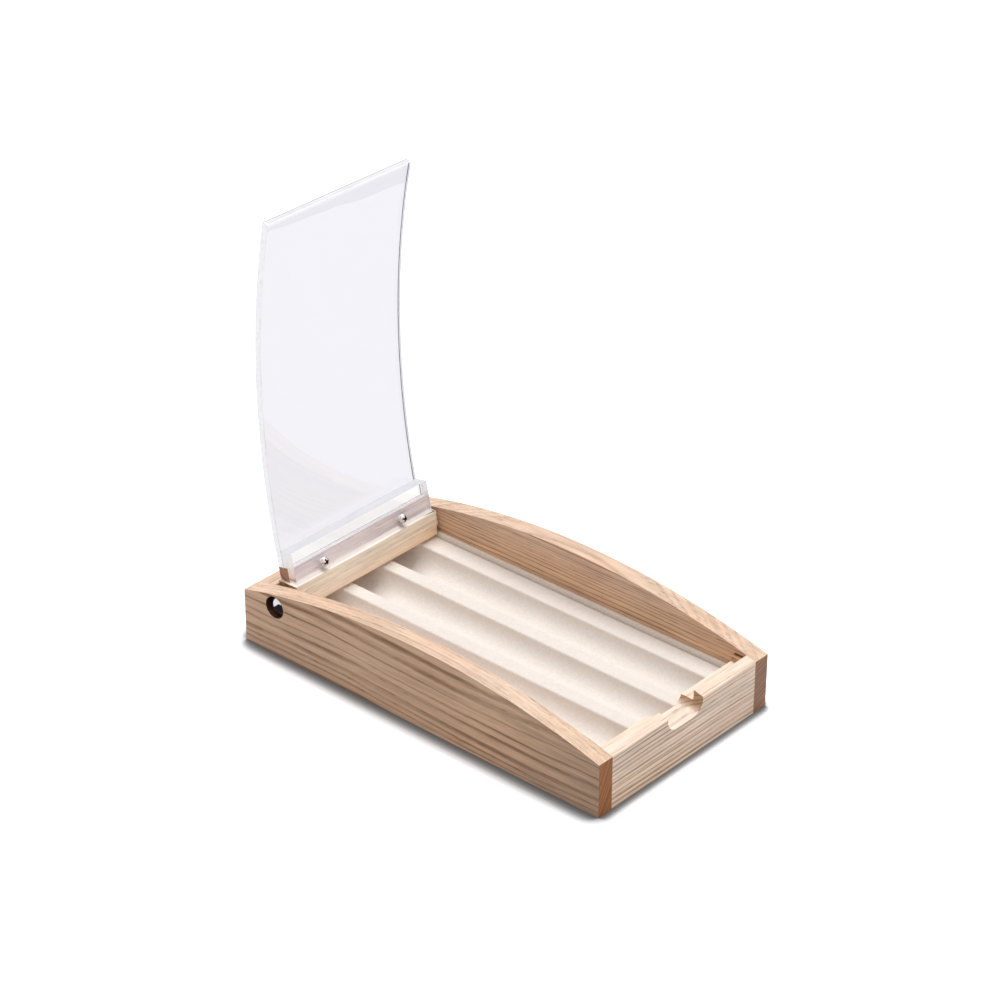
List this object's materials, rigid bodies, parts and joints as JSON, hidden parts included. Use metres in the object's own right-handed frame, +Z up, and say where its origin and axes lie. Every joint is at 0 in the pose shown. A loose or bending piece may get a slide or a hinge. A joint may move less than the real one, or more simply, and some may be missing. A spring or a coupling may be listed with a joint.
{
  "type": "fountain pen case",
  "caption": "Wooden fountain pen case with arched side walls, a flocked trough tray and a bent clear lid that swings up on a wooden hinge block.",
  "frame": {"origin": "centre of the case's underside, on the table", "axes": "+Z up, -Y towards the finger notch, +Y towards the hinge, +X across the case"},
  "size_m": [0.1094, 0.2004, 0.1978],
  "materials": {
    "ash_side": "open-grained ash, clear satin finish",
    "ash_end": "open-grained ash, clear satin finish",
    "ash_block": "fine-grained ash, clear satin finish",
    "base_board": "unfinished board",
    "flock": "off-white flock",
    "clear_lid": "clear polished acrylic",
    "screw_steel": "bright steel",
    "pin_chrome": "polished chrome plate"
  },
  "bodies": {
    "case": {"left_side_wall": "ash_side", "right_side_wall": "ash_side", "front_wall": "ash_end", "back_wall": "ash_end", "base_panel": "base_board", "pen_tray": "flock", "left_tray_packer": "flock", "right_tray_packer": "flock", "left_hinge_pin": "pin_chrome", "right_hinge_pin": "pin_chrome", "left_hinge_spacer": "screw_steel", "right_hinge_spacer": "screw_steel"},
    "lid": {"hinge_block": "ash_block", "lid_sheet": "clear_lid", "lid_strip": "clear_lid", "left_lid_screw": "screw_steel", "right_lid_screw": "screw_steel"}
  },
  "joints": [
    {"name": "lid_hinge", "type": "hinge", "parent": "case", "child": "lid", "pos_m": [0, 0.0816, 0.0235], "axis": [1, 0, 0], "range_deg": [0, 93]}
  ]
}
